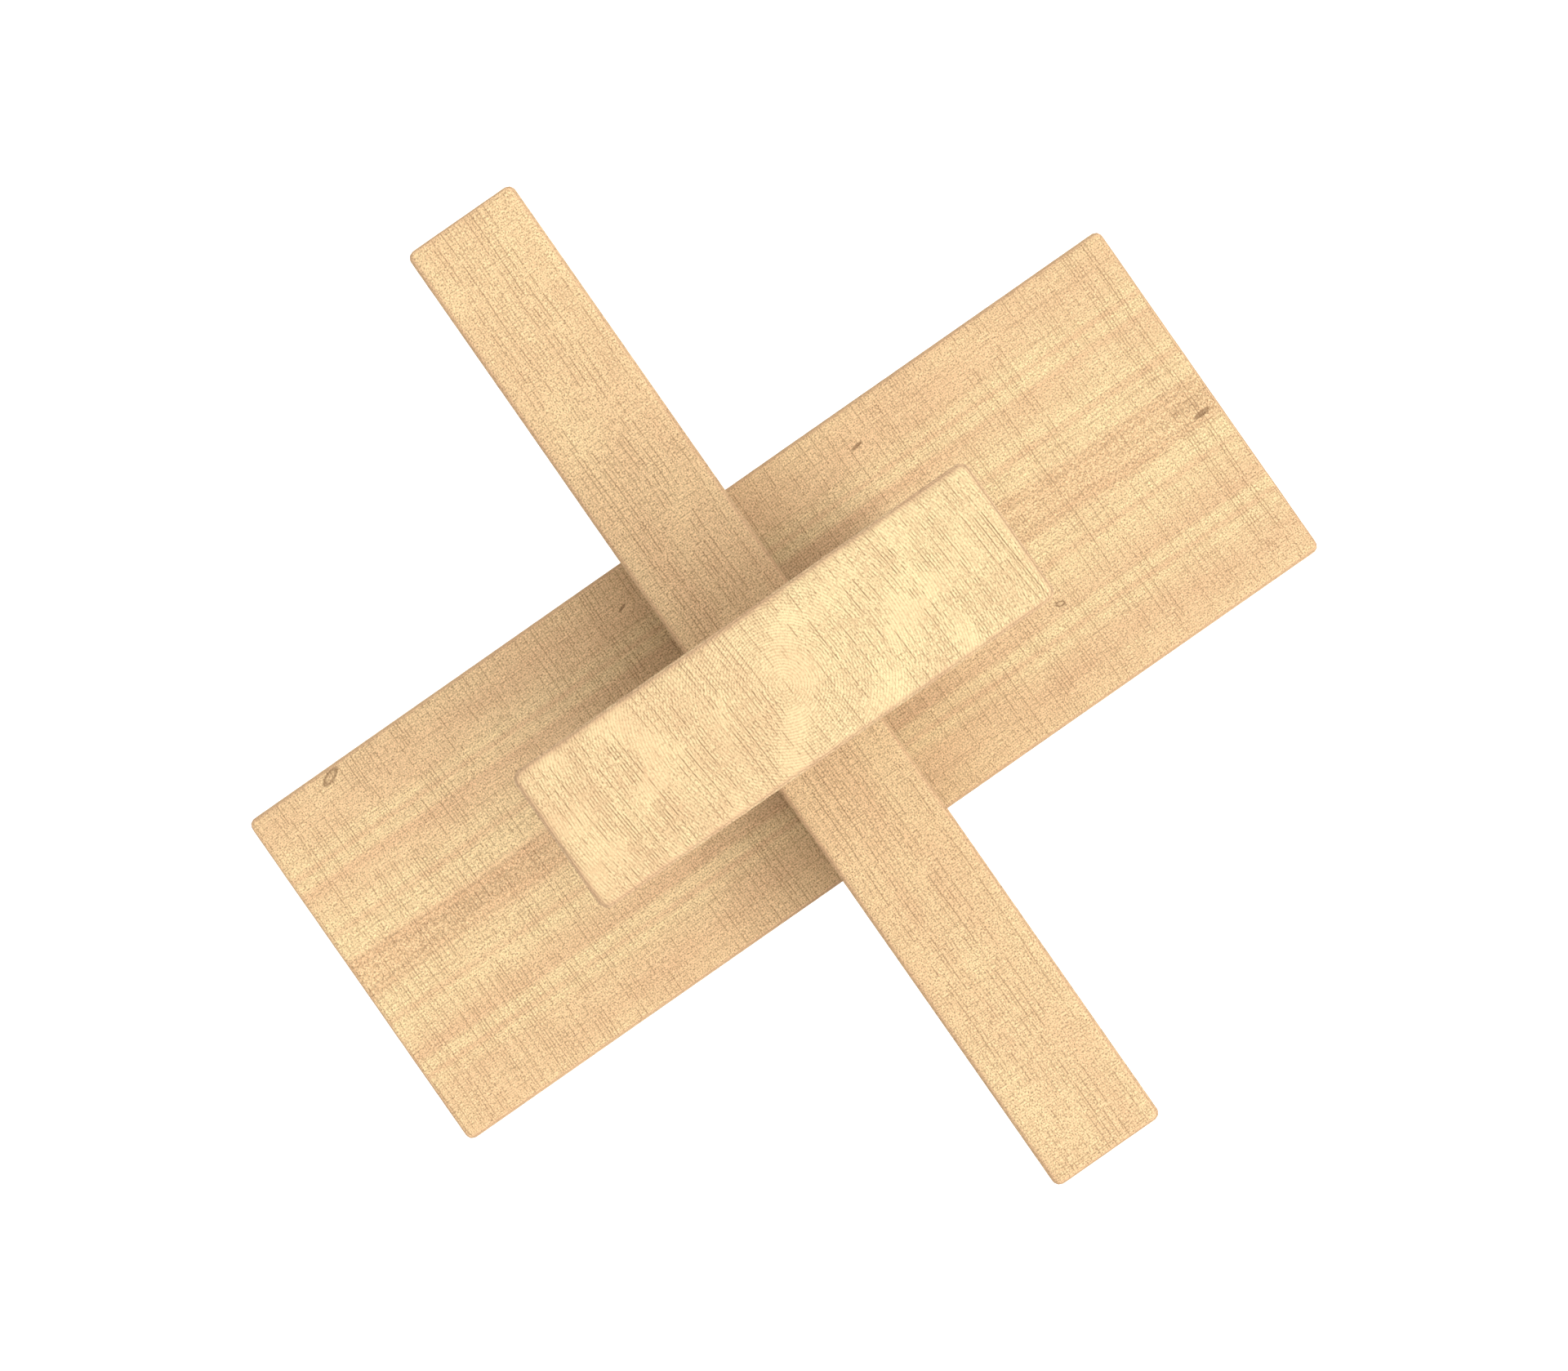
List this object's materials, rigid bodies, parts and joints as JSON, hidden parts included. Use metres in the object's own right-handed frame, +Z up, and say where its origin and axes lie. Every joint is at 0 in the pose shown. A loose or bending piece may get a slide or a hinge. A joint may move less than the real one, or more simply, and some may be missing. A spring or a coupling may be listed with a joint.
{
  "type": "wooden burr puzzle",
  "caption": "Take-apart burr puzzle: flat wooden boards cross at right angles and lock through slots in their middles, so that one has to be lifted before another slides out.",
  "frame": {"origin": "middle of the upright board's lower end, on the surface that it stands on, straight below the point where the boards cross", "axes": "+Z up along the upright board's length, +X along the level board's length, towards the side that the upright board's channel opens on, +Y along the edge board's length"},
  "size_m": [0.08, 0.08, 0.08],
  "materials": {
    "level_board_wood": "sanded, matt, unvarnished",
    "edge_board_wood": "sanded, matt, unvarnished",
    "upright_board_wood": "sanded, matt, unvarnished"
  },
  "bodies": {
    "upright": {"upright_board": "upright_board_wood"},
    "edge": {"edge_board": "edge_board_wood"},
    "level": {"level_board": "level_board_wood"}
  },
  "joints": [
    {"name": "edge_board_lift", "type": "slide", "parent": "upright", "child": "edge", "axis": [0, 0, 1], "range_m": [0, 0.0198]},
    {"name": "level_board_lift", "type": "slide", "parent": "upright", "child": "level", "axis": [0, 0, 1], "range_m": [0, 0.0198]}
  ],
  "couplings": [
    {"joint": "level_board_lift", "follows": "edge_board_lift", "ratio": 1}
  ]
}
